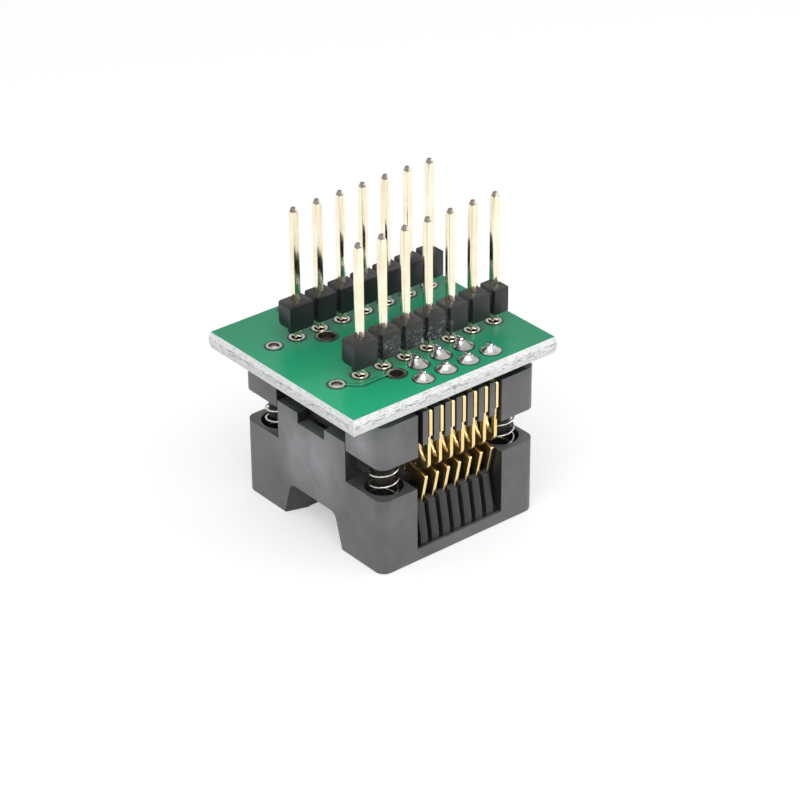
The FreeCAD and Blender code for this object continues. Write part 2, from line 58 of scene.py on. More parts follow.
# %% [markdown]
# The camera comes first. It was worked out from the photograph: the pins stand 2.54 mm apart, so
# their tips and feet fix where the lens was, 24 cm away, looking 30 degrees down past the near
# left corner. Azimuth turns about the upright axis, elevation tilts, and roll is a hand's error.

# %% Camera
CAMERA_PLACE = Vector((-0.13791, -0.17147, 0.13785))
CAMERA_AZIMUTH = math.radians(-39.203)
CAMERA_ELEVATION = math.radians(30.012)
CAMERA_ROLL = math.radians(-0.436)
camera_data = bpy.data.cameras.new("photo_camera")
camera_data.sensor_width = 36.0
camera_data.lens = 127.88
camera_data.clip_start = 0.01
camera = bpy.data.objects.new("photo_camera", camera_data)
bpy.context.scene.collection.objects.link(camera)
camera.matrix_world = (Matrix.Translation(CAMERA_PLACE) @ Matrix.Rotation(CAMERA_AZIMUTH, 4, "Z")
                       @ Matrix.Rotation(math.pi / 2 - CAMERA_ELEVATION, 4, "X")
                       @ Matrix.Rotation(CAMERA_ROLL, 4, "Z"))
bpy.context.scene.camera = camera
bpy.context.scene.view_settings.view_transform = "Standard"
print("camera at", tuple(round(c, 4) for c in camera.location))

# %% [markdown]
# Materials are node trees. Writing each node by hand is long, so four small helpers make a node,
# join sockets, do sums on them and start a material. They keep the later cells about the finish
# and not about the wiring.

# %% Helpers for node trees
def add_node(tree, kind, **values):
    """A node of this kind, with its own settings and its inputs' values given by name."""
    node = tree.nodes.new(kind)
    for name, value in values.items():
        if hasattr(node, name):
            setattr(node, name, value)
        else:
            node.inputs[name.replace("_", " ")].default_value = value
    return node


def join(tree, source, target):
    tree.links.new(source, target)


def maths(tree, operation, first, second=0.5):
    """A Math node whose inputs may be sockets or numbers."""
    node = tree.nodes.new("ShaderNodeMath")
    node.operation = operation
    for i, value in enumerate((first, second)):
        if isinstance(value, (int, float)):
            node.inputs[i].default_value = value
        else:
            join(tree, value, node.inputs[i])
    return node.outputs[0]


def new_material(name, **settings):
    """A material with one Principled BSDF, whose constant values sit on its own sockets."""
    material = bpy.data.materials.new(name)
    material.use_nodes = True
    shader = material.node_tree.nodes["Principled BSDF"]
    for socket, value in settings.items():
        shader.inputs[socket.replace("_", " ")].default_value = value
    material.diffuse_color = shader.inputs["Base Color"].default_value
    return material, material.node_tree, shader


print("helpers ready")

# %% [markdown]
# Moulded black plastic, green lacquer and solder all carry the same two things: a fine grain
# that breaks up a highlight, and slow cloudy patches from handling and cleaning. Each is one
# shader node group with named inputs, so every material can ask for its own size and strength.
# A group gives only values; the shader itself stays in the material.

# %% Shared effect groups
def new_group(name, inputs, outputs):
    group = bpy.data.node_groups.new(name, "ShaderNodeTree")
    for label, value in inputs:
        socket = group.interface.new_socket(label, in_out="INPUT", socket_type="NodeSocketFloat")
        socket.default_value = value
    for label in outputs:
        group.interface.new_socket(label, in_out="OUTPUT", socket_type="NodeSocketFloat")
    return group, group.nodes.new("NodeGroupInput"), group.nodes.new("NodeGroupOutput")


def object_point(tree):
    return add_node(tree, "ShaderNodeTexCoord").outputs["Object"]


def noise_value(tree, scale, detail=2.0, roughness=0.5, stretch=None):
    """Noise on Object coordinates, in features per metre, stretched along an axis if asked."""
    noise = add_node(tree, "ShaderNodeTexNoise", Detail=detail, Roughness=roughness)
    point = object_point(tree)
    if stretch:
        mapping = add_node(tree, "ShaderNodeMapping", Scale=stretch)
        join(tree, point, mapping.inputs["Vector"])
        point = mapping.outputs["Vector"]
    join(tree, point, noise.inputs["Vector"])
    if isinstance(scale, (int, float)):
        noise.inputs["Scale"].default_value = scale
    else:
        join(tree, scale, noise.inputs["Scale"])
    return noise.outputs["Fac"]


def blended(tree, first, second, share):
    """Two values added up, the first with this share and the second with what is left."""
    rest = maths(tree, "MULTIPLY", second, 1.0 - share)
    return maths(tree, "ADD", maths(tree, "MULTIPLY", first, share), rest)


def make_grain_group():
    inputs = [("Grains per metre", 9000.0), ("Depth", 0.3)]
    group, entry, result = new_group("fine_grain", inputs, ["Height"])
    coarse = noise_value(group, maths(group, "MULTIPLY", entry.outputs[0], 0.35), 3.0)
    fine = noise_value(group, entry.outputs[0], 2.0)
    both = blended(group, coarse, fine, 0.6)
    join(group, maths(group, "MULTIPLY", both, entry.outputs[1]), result.inputs["Height"])
    return group


def make_cloud_group():
    inputs = [("Size per metre", 180.0), ("Contrast", 1.0)]
    group, entry, result = new_group("handled_clouds", inputs, ["Mask"])
    cloud = noise_value(group, entry.outputs[0], 4.0, 0.6)
    centred = maths(group, "MULTIPLY", maths(group, "SUBTRACT", cloud, 0.5), entry.outputs[1])
    lifted = maths(group, "ADD", maths(group, "MULTIPLY", centred, 2.0), 0.5)
    clamp = group.nodes.new("ShaderNodeClamp")
    join(group, lifted, clamp.inputs["Value"])
    join(group, clamp.outputs[0], result.inputs["Mask"])
    return group


def make_speck_group():
    inputs = [("Specks per metre", 900.0), ("Share", 0.1)]
    group, entry, result = new_group("dust_specks", inputs, ["Mask"])
    cells = add_node(group, "ShaderNodeTexVoronoi")
    join(group, object_point(group), cells.inputs["Vector"])
    join(group, entry.outputs[0], cells.inputs["Scale"])
    split = group.nodes.new("ShaderNodeSeparateColor")
    join(group, cells.outputs["Color"], split.inputs["Color"])
    chosen = maths(group, "LESS_THAN", split.outputs["Red"], entry.outputs[1])
    size = maths(group, "MULTIPLY", split.outputs["Green"], 0.22)
    near = maths(group, "LESS_THAN", cells.outputs["Distance"], size)
    join(group, maths(group, "MULTIPLY", chosen, near), result.inputs["Mask"])
    return group


GRAIN = make_grain_group()
CLOUDS = make_cloud_group()
SPECKS = make_speck_group()


def use_group(tree, group, **values):
    node = tree.nodes.new("ShaderNodeGroup")
    node.node_tree = group
    for name, value in values.items():
        node.inputs[name.replace("_", " ")].default_value = value
    return node.outputs[0]


def mixed_colour(tree, mask, dark, light):
    mix = tree.nodes.new("ShaderNodeMix")
    mix.data_type = "RGBA"
    for socket, value in ((mix.inputs["A"], dark), (mix.inputs["B"], light)):
        if isinstance(value, tuple):
            socket.default_value = (*value, 1.0)
        else:
            join(tree, value, socket)
    join(tree, mask, mix.inputs["Factor"])
    return mix.outputs["Result"]


def tint_base(material, mask, colour):
    """Turn a finished material's base colour towards this colour where the mask is 1."""
    tree = material.node_tree
    base = tree.nodes["Principled BSDF"].inputs["Base Color"]
    join(tree, mixed_colour(tree, mask, base.links[0].from_socket, colour), base)


def in_range(tree, mask, low, high):
    ramp = tree.nodes.new("ShaderNodeMapRange")
    join(tree, mask, ramp.inputs["Value"])
    ramp.inputs["To Min"].default_value = low
    ramp.inputs["To Max"].default_value = high
    return ramp.outputs["Result"]


def add_bump(tree, shader, height, distance, strength=1.0):
    bump = add_node(tree, "ShaderNodeBump", Distance=distance, Strength=strength)
    join(tree, height, bump.inputs["Height"])
    join(tree, bump.outputs["Normal"], shader.inputs["Normal"])


print("groups:", GRAIN.name, CLOUDS.name, SPECKS.name)

# %% [markdown]
# The socket is moulded in black heat-proof plastic. Under studio light it never looks black: its
# glass-filled skin scatters a grey haze, finely speckled, with paler clouds where it was
# wiped. The pin strips are a cheaper, blacker plastic. Both are dark dielectrics, so most of
# what is seen is the highlight, and grain in the bump is what makes it look moulded.

# %% Black plastics
def moulded_plastic(name, deep, hazy, roughness, gloss, grain_depth, cloud_size):
    material, tree, shader = new_material(name, Specular_IOR_Level=gloss)
    clouds = use_group(tree, CLOUDS, Size_per_metre=cloud_size, Contrast=1.0)
    speckle = noise_value(tree, 11000.0, 1.0)
    base = mixed_colour(tree, blended(tree, clouds, speckle, 0.7), deep, hazy)
    specks = use_group(tree, SPECKS, Specks_per_metre=700.0, Share=0.035)
    dusty = mixed_colour(tree, specks, base, (0.34, 0.34, 0.35))
    join(tree, dusty, shader.inputs["Base Color"])
    join(tree, in_range(tree, clouds, roughness - 0.06, roughness + 0.08), shader.inputs["Roughness"])
    grain = use_group(tree, GRAIN, Grains_per_metre=9000.0, Depth=grain_depth)
    add_bump(tree, shader, grain, 0.00002)
    return material


socket_plastic = moulded_plastic("socket_plastic", (0.020, 0.020, 0.021), (0.130, 0.130, 0.134),
                                 roughness=0.40, gloss=1.0, grain_depth=0.6, cloud_size=230.0)
# The second, darker and duller copy is painted shade for the socket's recesses.
recess_shade_plastic = moulded_plastic("recess_shade_plastic", (0.010, 0.010, 0.011), (0.030, 0.030, 0.032),
                               roughness=0.40, gloss=0.5, grain_depth=0.6, cloud_size=260.0)
strip_plastic = moulded_plastic("strip_plastic", (0.008, 0.009, 0.010), (0.026, 0.026, 0.028),
                                roughness=0.36, gloss=0.5, grain_depth=0.5, cloud_size=420.0)
print(socket_plastic.name, recess_shade_plastic.name, strip_plastic.name)

# %% [markdown]
# The end of the socket and the near corner of the base beside it get painted light: they are turned
# paler, as where more lamp light falls on them. Each patch is a soft ball in the part's own space:
# whatever surface lies inside it turns paler, and the cloud pattern keeps its edge from looking round.

# %% Painted light patches
LIT_PATCHES = (((-0.0080, 0.0006, 0.0078), 0.0060), ((-0.0080, -0.0066, 0.0125), 0.0040))


def paint_lit_patches(material, patches, colour, strength):
    """Paint light: turn a material paler inside soft balls, each given by its middle and radius in
    metres.
    """
    tree = material.node_tree
    mask = None
    for middle, radius in patches:
        away = add_node(tree, "ShaderNodeVectorMath", operation="DISTANCE")
        join(tree, object_point(tree), away.inputs[0])
        away.inputs[1].default_value = middle
        depth = maths(tree, "SUBTRACT", 1.0, maths(tree, "DIVIDE", away.outputs["Value"], radius))
        mask = maths(tree, "MAXIMUM", mask, depth) if mask else maths(tree, "MAXIMUM", depth, 0.0)
    clouds = use_group(tree, CLOUDS, Size_per_metre=260.0, Contrast=0.8)
    soft = maths(tree, "MULTIPLY", maths(tree, "MULTIPLY", mask, clouds), strength)
    limit = tree.nodes.new("ShaderNodeClamp")
    join(tree, soft, limit.inputs["Value"])
    tint_base(material, limit.outputs[0], colour)


paint_lit_patches(socket_plastic, LIT_PATCHES, (0.30, 0.30, 0.32), 1.5)
print("rubbed patches:", len(LIT_PATCHES))

# %% [markdown]
# The near strip has scuffs and dried flux on its front where the board was soldered, and its pale marks
# are partly that crust and partly painted glints off the glossy flux. A mask in Object coordinates keeps
# them on the few middle units: the part's own place says where, and a stretched noise says how they run.

# %% Scuffed front of the near strip, with painted glints
def scuffed_with_glints(material, name, x_low, x_high, z_high):
    """A copy of a material with pale marks, partly scuffs and flux and partly painted glints, inside a
    window whose borders fade out.
    """
    copy = material.copy()
    copy.name = name
    tree = copy.node_tree
    split = tree.nodes.new("ShaderNodeSeparateXYZ")
    join(tree, object_point(tree), split.inputs[0])
    soft = 1.2 * MM
    left = maths(tree, "DIVIDE", maths(tree, "SUBTRACT", split.outputs["X"], x_low), soft)
    right = maths(tree, "DIVIDE", maths(tree, "SUBTRACT", x_high, split.outputs["X"]), soft)
    low = maths(tree, "DIVIDE", maths(tree, "SUBTRACT", z_high, split.outputs["Z"]), soft)
    window = maths(tree, "MINIMUM", maths(tree, "MINIMUM", left, right), low)
    streaks = noise_value(tree, 2400.0, 8.0, 0.8, (1.0, 1.0, 1.8))
    marks = maths(tree, "MULTIPLY", maths(tree, "SUBTRACT", streaks, 0.54), 11.0)
    mask = tree.nodes.new("ShaderNodeClamp")
    join(tree, maths(tree, "MINIMUM", window, marks), mask.inputs["Value"])
    tint_base(copy, mask.outputs[0], (0.30, 0.30, 0.30))
    return copy


near_strip_plastic = scuffed_with_glints(strip_plastic, "near_strip_plastic",
                             x_low=-5.2 * MM, x_high=3.6 * MM, z_high=20.9 * MM)
print(near_strip_plastic.name)

# %% [markdown]
# The plug pins have a thin pale gold flash, the contacts a warmer gold over springy bronze, and the
# solder and the ring pads are bright tin, the solder lumpy enough to mirror both the lamp and the dark
# strip beside it. A contact is cut from sheet: its cut edges keep the bright gold, and its flat sides,
# which face the neighbouring contacts and lie in their shadow, get a duller, browner plating as painted
# shade. Metals have no diffuse colour, so the base colour is the colour of the reflection, and a little
# variation in roughness stops them looking like chrome toys.

# %% Metals
def plated_metal(name, dull, bright, roughness, patch_size, wave=0.000006, wave_size=1400.0):
    """Metal in two tones by patches. Wave is how deep its surface ripples, in metres."""
    material, tree, shader = new_material(name, Metallic=1.0)
    patches = use_group(tree, CLOUDS, Size_per_metre=patch_size, Contrast=1.3)
    join(tree, mixed_colour(tree, patches, dull, bright), shader.inputs["Base Color"])
    join(tree, in_range(tree, patches, roughness + 0.07, roughness - 0.03), shader.inputs["Roughness"])
    add_bump(tree, shader, noise_value(tree, wave_size, 3.0), wave)
    return material


pin_plating = plated_metal("pin_plating", (0.88, 0.79, 0.58), (0.98, 0.92, 0.76), 0.07, 500.0,
                           wave=0.000001, wave_size=900.0)
contact_plating = plated_metal("contact_plating", (1.0, 0.72, 0.27), (1.0, 0.84, 0.45), 0.18, 420.0,
                               wave=0.0000005, wave_size=500.0)
# The duller, browner plating of the contacts' flat sides is painted shade.
shaded_side_plating = plated_metal("shaded_side_plating", (0.42, 0.26, 0.08), (0.86, 0.68, 0.34), 0.34, 1200.0,
                              wave=0.000002, wave_size=1500.0)
tinned_copper = plated_metal("tinned_copper", (0.62, 0.60, 0.56), (0.86, 0.86, 0.84), 0.24, 1500.0)
bright_solder = plated_metal("bright_solder", (0.72, 0.72, 0.71), (1.0, 1.0, 1.0), 0.22, 1100.0,
                             wave=0.00007, wave_size=1300.0)
spring_wire = plated_metal("spring_wire", (0.60, 0.57, 0.50), (0.88, 0.85, 0.78), 0.18, 2500.0)
metals = (pin_plating, contact_plating, shaded_side_plating, tinned_copper, bright_solder, spring_wire)
print("metals:", [metal.name for metal in metals])

# %% [markdown]
# The pins were cut from long wire and then pointed, and their pointed tips mirror the dark top of the
# studio: that dark reflection is painted into them as a dark grey. The pin's own height says where the
# tip begins, which keeps the whole pin one material.

# %% Painted dark reflection on the pin tips
TIP_LENGTH = 0.42 * MM
PIN_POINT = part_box("header_pin_near_1")[1].z - TIP_LENGTH


def paint_tip_reflection(material, level, colour):
    tree = material.node_tree
    split = tree.nodes.new("ShaderNodeSeparateXYZ")
    join(tree, object_point(tree), split.inputs[0])
    above = maths(tree, "GREATER_THAN", split.outputs["Z"], level)
    tint_base(material, above, colour)


paint_tip_reflection(pin_plating, PIN_POINT, (0.34, 0.31, 0.26))
print("tips start at", round(PIN_POINT / MM, 2), "mm")

# %% [markdown]
# The board is glass-fibre sheet under green lacquer. Its faces are glossy green, its scored and
# snapped edges show the pale fibres with a rough broken line in the middle, and the lacquer
# stands back from every pad in a darker ring. A few plain materials, given to faces by where they
# lie, copy that better than one clever one.

# %% Board materials
NEAR_CORNER = -18.0 * MM
FIBRE_FADE = 0.14


def board_lacquer_material():
    material, tree, shader = new_material("board_lacquer", Specular_IOR_Level=0.3,
                                          Coat_Weight=0.12, Coat_Roughness=0.06)
    clouds = use_group(tree, CLOUDS, Size_per_metre=130.0, Contrast=0.9)
    weave = noise_value(tree, 2600.0, 2.0)
    mask = blended(tree, clouds, weave, 0.75)
    green = mixed_colour(tree, mask, (0.014, 0.240, 0.118), (0.020, 0.320, 0.162))
    split = tree.nodes.new("ShaderNodeSeparateXYZ")
    join(tree, object_point(tree), split.inputs[0])
    # Painted light: the green turns lighter and stronger towards the near corner, where the lamps fall
    # most.
    toward_front = maths(tree, "ADD", split.outputs["X"], split.outputs["Y"])
    front = tree.nodes.new("ShaderNodeMapRange")
    front.inputs["From Min"].default_value = 0.0
    front.inputs["From Max"].default_value = NEAR_CORNER
    join(tree, toward_front, front.inputs["Value"])
    green = mixed_colour(tree, front.outputs["Result"], green, (0.016, 0.420, 0.200))
    specks = use_group(tree, SPECKS, Specks_per_metre=420.0, Share=0.05)
    join(tree, mixed_colour(tree, specks, green, (0.42, 0.62, 0.50)), shader.inputs["Base Color"])
    join(tree, in_range(tree, clouds, 0.30, 0.42), shader.inputs["Roughness"])
    add_bump(tree, shader, noise_value(tree, 700.0, 2.0), 0.000012)
    return material


def fibre_material(name, pale, dark, start, stretch):
    """Glass fibre: long streaks along the edge, broken up by a much finer grain."""
    material, tree, shader = new_material(name, Roughness=0.7)
    streaks = noise_value(tree, 9500.0, 4.0, 0.6, stretch)
    grain = noise_value(tree, 16000.0, 2.0)
    fibres = blended(tree, streaks, grain, 0.65)
    ramp = tree.nodes.new("ShaderNodeMapRange")
    ramp.inputs["From Min"].default_value = start
    ramp.inputs["From Max"].default_value = start + FIBRE_FADE
    join(tree, fibres, ramp.inputs["Value"])
    join(tree, mixed_colour(tree, ramp.outputs["Result"], dark, pale), shader.inputs["Base Color"])
    add_bump(tree, shader, fibres, 0.00004)
    return material


board_lacquer = board_lacquer_material()
# The darker green serves both the real ring round each pad and painted shade on the track's walls; the
# greener one after it is painted shade beside the track.
dark_lacquer, _, _ = new_material("dark_lacquer", Base_Color=(0.006, 0.060, 0.038, 1.0), Roughness=0.25)
track_shade, _, _ = new_material("track_shade", Base_Color=(0.006, 0.125, 0.090, 1.0), Roughness=0.25)
# The near-black brown of the holes' walls is painted shade.
hole_shade, _, _ = new_material("hole_shade", Base_Color=(0.030, 0.026, 0.020, 1.0), Roughness=0.45)
scored_fibre = fibre_material("scored_fibre", (0.86, 0.87, 0.87), (0.44, 0.45, 0.45), 0.36,
                              (0.20, 0.20, 1.0))
snapped_fibre = fibre_material("snapped_fibre", (0.86, 0.86, 0.85), (0.20, 0.20, 0.21), 0.38,
                               (0.16, 0.16, 1.0))
print("board:", board_lacquer.name, dark_lacquer.name, scored_fibre.name, snapped_fibre.name)

# %% [markdown]
# A computed solid has edges of no width, and nothing real does: a mould or a cutter leaves a small
# round that catches the light. Each rigid piece is therefore a merged copy of its solid with a
# narrow Bevel. The bevel is a modifier, so its width is one number, and it is applied at the end
# because the finished piece should be a plain mesh. Later cells sort faces by direction: a face
# is a flat top or bottom where the upright part of its normal is over LEVEL.

# %% Softened copies of the solids
MERGE_WITHIN = 0.0002 * MM
SOCKET_EDGE = 0.06 * MM
STRIP_EDGE = 0.05 * MM
FINE_EDGE = 0.04 * MM
FLAT_WITHIN = math.radians(0.6)
BEVEL_FROM = math.radians(28.0)
SHARP_FROM = math.radians(32.0)
LEVEL = 0.9


def link(obj):
    bpy.context.scene.collection.objects.link(obj)
    return obj


def apply_modifiers(obj):
    """Swap the mesh for its evaluated shape and drop the modifiers."""
    bpy.context.view_layer.update()
    evaluated = obj.evaluated_get(bpy.context.evaluated_depsgraph_get())
    mesh = bpy.data.meshes.new_from_object(evaluated)
    mesh.name = obj.name
    obj.modifiers.clear()
    obj.data = mesh
    return obj


def set_input(modifier, label, value):
    """Set a modifier's input by its socket's identifier, found from its name."""
    for item in modifier.node_group.interface.items_tree:
        if item.item_type == "SOCKET" and item.in_out == "INPUT" and item.name == label:
            modifier[item.identifier] = value
            return
    raise ValueError(label)


def merged_copy(node, name):
    """The solid's mesh with its doubles merged and its flat faces made whole."""
    mesh = nodes[node].data.copy()
    mesh.materials.clear()
    work = bmesh.new()
    work.from_mesh(mesh)
    bmesh.ops.remove_doubles(work, verts=work.verts, dist=MERGE_WITHIN)
    bmesh.ops.dissolve_limit(work, angle_limit=FLAT_WITHIN, verts=work.verts, edges=work.edges)
    work.to_mesh(mesh)
    work.free()
    mesh.name = name
    return link(bpy.data.objects.new(name, mesh))


def soften(obj, width):
    """Round the edges by this width, or only smooth the shading where it is 0."""
    obj.data.shade_smooth()
    if width:
        bevel = obj.modifiers.new("soft_edges", "BEVEL")
        bevel.width = width
        bevel.segments = 2
        bevel.limit_method = "ANGLE"
        bevel.angle_limit = BEVEL_FROM
        bevel.harden_normals = True
        apply_modifiers(obj)
    obj.data.set_sharp_from_angle(angle=SHARP_FROM)
    return obj


def dressed(node, material, body, bevel):
    """A softened copy of a solid, in one material, that stands in for it on its body."""
    piece = soften(merged_copy(node, node + "_piece"), bevel)
    piece.data.materials.append(material)
    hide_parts(node)
    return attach(piece, body)


socket_base = dressed("socket_base", socket_plastic, "base", SOCKET_EDGE)
socket_cover = dressed("socket_cover", socket_plastic, "cover", SOCKET_EDGE)
print("socket pieces:", len(socket_base.data.polygons), len(socket_cover.data.polygons))

# %% [markdown]
# The outer walls take the wiped, hazy plastic, and what lies further in gets a darker, duller copy of it
# as painted shade, for little light reaches into the recesses. Which is which comes from each face's
# distance inside the socket's rounded plan: for a rounded rectangle that distance has a short formula,
# worked out from the corner nearest to the face. Level ledges near the rim catch the light too, and stay
# hazy.

# %% Wiped outside, painted shade inside
CORNER_RADIUS = 1.03 * MM
SKIN = 0.2 * MM
LEDGE = 4.5 * MM


def depth_inside(point, middle, half):
    """How far a point lies inside the socket's rounded rectangular plan."""
    across = abs(point.x - middle.x) - (half.x - CORNER_RADIUS)
    along = abs(point.y - middle.y) - (half.y - CORNER_RADIUS)
    outside = math.hypot(max(across, 0.0), max(along, 0.0))
    return CORNER_RADIUS - outside - min(max(across, along), 0.0)


def shade_recesses(piece, node):
    """Give the painted shade to the faces that lie further in, but not to the flat ledges near the rim.
    """
    low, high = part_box(node)
    middle, half = (low + high) / 2, (high - low) / 2
    piece.data.materials.append(recess_shade_plastic)
    inner = 0
    for face in piece.data.polygons:
        depth = depth_inside(face.center, middle, half)
        level = abs(face.normal.z) > LEVEL and depth < LEDGE
        if depth > SKIN and not level:
            face.material_index = 1
            inner += 1
    return inner


inner_faces = [shade_recesses(piece, node) for piece, node in
               ((socket_base, "socket_base"), (socket_cover, "socket_cover"))]
print("inner faces:", inner_faces)

# %% [markdown]
# The two pin strips and their fourteen pins get the same care. A pin is drawn wire, square with
# a hair of rounding, so its bevel is narrower than the moulding's.

# %% Pin strips and pins
strips = [dressed("header_strip_near", near_strip_plastic, "base", STRIP_EDGE),
          dressed("header_strip_far", strip_plastic, "base", STRIP_EDGE)]
pins = [dressed(name, pin_plating, "base", FINE_EDGE)
        for name in sorted(nodes) if name.startswith("header_pin_")]
print("strips:", len(strips), "pins:", len(pins))

# %% [markdown]
# The board's copy keeps its solid's shape, and its faces are sorted by direction and place. Flat faces
# are lacquer, the slopes of the scored edge and the snapped web are fibre, and the low walls of the
# copper track get the darker lacquer as painted shade, for at this height their own shade hardly shows.

# %% Circuit board
EDGE_ZONE = 0.3 * MM
LACQUER, TRACK_SIDE, SCORED, SNAPPED = range(4)
board = merged_copy("circuit_board", "circuit_board_piece")
for material in (board_lacquer, dark_lacquer, scored_fibre, snapped_fibre):
    board.data.materials.append(material)
high_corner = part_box("circuit_board")[1]
edge_x, edge_y = high_corner.x - EDGE_ZONE, high_corner.y - EDGE_ZONE
for face in board.data.polygons:
    at_edge = abs(face.center.x) > edge_x or abs(face.center.y) > edge_y
    if abs(face.normal.z) > LEVEL:
        face.material_index = LACQUER
    elif at_edge:
        face.material_index = SNAPPED if abs(face.normal.z) < 0.02 else SCORED
    else:
        face.material_index = TRACK_SIDE
soften(board, 0)
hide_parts("circuit_board")
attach(board, "base")
print("board faces:", len(board.data.polygons))

# %% [markdown]
# Round every pad the green lacquer lies thin over a gap in the copper, and looks darker. Such a rim
# repeats at every hole, so Geometry Nodes make it: a circle is stamped on a point at each pad's centre,
# as wide as the point's own "pad_radius", and a flat strip is swept along it. A wider, greener strip of
# painted shade runs along the loose edges in the mesh, which is how the track gets its dark outline
# beside its raised edge. Centres and edges come from the solids.

# %% Pad centres and track outline
PAD_HEIGHT = 0.05 * MM
JUST_PROUD = 0.02 * MM


def islands(obj):
    """Places of the corners of each loose island of a mesh."""
    work = bmesh.new()
    work.from_mesh(obj.data)
    bmesh.ops.remove_doubles(work, verts=work.verts, dist=MERGE_WITHIN)
    left, found = set(work.verts), []
    while left:
        stack, corners = [left.pop()], []
        while stack:
            vert = stack.pop()
            corners.append(vert.co.copy())
            for edge in vert.link_edges:
                other = edge.other_vert(vert)
                if other in left:
                    left.remove(other)
                    stack.append(other)
        found.append(corners)
    work.free()
    return found


def top_rims(obj, proud):
    """Edges round the faces that stand this far above the board's own top face."""
    work = bmesh.new()
    work.from_mesh(obj.data)
    bmesh.ops.remove_doubles(work, verts=work.verts, dist=MERGE_WITHIN)
    raised = {f for f in work.faces if f.normal.z > LEVEL and f.calc_center_median().z > proud}
    rims = [[v.co.copy() for v in e.verts] for e in work.edges
            if len([f for f in e.link_faces if f in raised]) == 1]
    work.free()
    return rims


pads = []
for corners in islands(nodes["plated_holes"]):
    xs, ys = [c.x for c in corners], [c.y for c in corners]
    pads.append(((min(xs) + max(xs)) / 2, (min(ys) + max(ys)) / 2, (max(xs) - min(xs)) / 2))
BOARD_TOP = max(v.co.z for v in nodes["plated_holes"].data.vertices) - PAD_HEIGHT
track_edges = top_rims(nodes["circuit_board"], BOARD_TOP + JUST_PROUD)
print("pads:", len(pads), "track edges:", len(track_edges), "board top:", round(BOARD_TOP / MM, 3))

# %% Rim tree
RIM_WIDTH = 0.2 * MM
TRACK_RIM_WIDTH = 0.46 * MM


def make_rim_tree(pad_material, track_material):
    tree = bpy.data.node_groups.new("lacquer_rims", "GeometryNodeTree")
    tree.interface.new_socket("Geometry", in_out="INPUT", socket_type="NodeSocketGeometry")
    sizes = (("Width", 0.2 * MM), ("Track width", 0.2 * MM), ("Thickness", 0.02 * MM))
    for label, value in sizes:
        socket = tree.interface.new_socket(label, in_out="INPUT", socket_type="NodeSocketFloat")
        socket.default_value = value
    tree.interface.new_socket("Geometry", in_out="OUTPUT", socket_type="NodeSocketGeometry")
    entry, result = tree.nodes.new("NodeGroupInput"), tree.nodes.new("NodeGroupOutput")
    mesh, width, track_width, thickness = entry.outputs[:4]
    radius = add_node(tree, "GeometryNodeInputNamedAttribute", Name="pad_radius").outputs["Attribute"]
    circle = add_node(tree, "GeometryNodeCurvePrimitiveCircle", Resolution=40, Radius=1.0)
    stamp = tree.nodes.new("GeometryNodeInstanceOnPoints")
    join(tree, mesh, stamp.inputs["Points"])
    join(tree, circle.outputs["Curve"], stamp.inputs["Instance"])
    join(tree, maths(tree, "GREATER_THAN", radius, 0.0), stamp.inputs["Selection"])
    join(tree, maths(tree, "ADD", radius, maths(tree, "MULTIPLY", width, 0.5)), stamp.inputs["Scale"])
    realize = tree.nodes.new("GeometryNodeRealizeInstances")
    join(tree, stamp.outputs["Instances"], realize.inputs["Geometry"])
    loops = tree.nodes.new("GeometryNodeMeshToCurve")
    join(tree, mesh, loops.inputs["Mesh"])
    both = tree.nodes.new("GeometryNodeJoinGeometry")
    rings, edges = realize.outputs["Geometry"], loops.outputs["Curve"]
    for path, across, material in ((rings, width, pad_material), (edges, track_width, track_material)):
        strip = tree.nodes.new("GeometryNodeCurvePrimitiveQuadrilateral")
        join(tree, across, strip.inputs["Width"])
        join(tree, thickness, strip.inputs["Height"])
        sweep = tree.nodes.new("GeometryNodeCurveToMesh")
        join(tree, path, sweep.inputs["Curve"])
        join(tree, strip.outputs["Curve"], sweep.inputs["Profile Curve"])
        paint = add_node(tree, "GeometryNodeSetMaterial", Material=material)
        join(tree, sweep.outputs["Mesh"], paint.inputs["Geometry"])
        join(tree, paint.outputs["Geometry"], both.inputs["Geometry"])
    join(tree, both.outputs["Geometry"], result.inputs["Geometry"])
    return tree


def make_rims():
    corners = [(x, y, BOARD_TOP) for x, y, _ in pads]
    radii = [r for _, _, r in pads]
    edges = []
    for a, b in track_edges:
        edges.append((len(corners), len(corners) + 1))
        corners += [(a.x, a.y, BOARD_TOP), (b.x, b.y, BOARD_TOP)]
        radii += [0.0, 0.0]
    mesh = bpy.data.meshes.new("lacquer_rims")
    mesh.from_pydata(corners, edges, [])
    attribute = mesh.attributes.new("pad_radius", "FLOAT", "POINT")
    attribute.data.foreach_set("value", radii)
    rims = link(bpy.data.objects.new("lacquer_rims", mesh))
    merged = bmesh.new()
    merged.from_mesh(mesh)
    bmesh.ops.remove_doubles(merged, verts=merged.verts, dist=MERGE_WITHIN)
    merged.to_mesh(mesh)
    merged.free()
    grow = rims.modifiers.new("rims", "NODES")
    grow.node_group = make_rim_tree(dark_lacquer, track_shade)
    set_input(grow, "Width", RIM_WIDTH)
    set_input(grow, "Track width", TRACK_RIM_WIDTH)
    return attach(apply_modifiers(rims), "base")


lacquer_rims = make_rims()
print("rims:", len(lacquer_rims.data.polygons), "faces,",
      [round(d / MM, 3) for d in lacquer_rims.dimensions])

# %% [markdown]
# Each contact is one flat spring, but it does two jobs: its leg and tail are fixed in the socket, while
# its loop and blade swing when the cover is pressed. The copy is cut in two just under the leg, and the
# lower piece gets a mesh of its own, apart from the soldered tails. The tails were bent over a little
# before they were soldered, those of the inner row more than the outer, and their solder leans with
# them. A second cut lets the tin on a tail begin on a straight line.

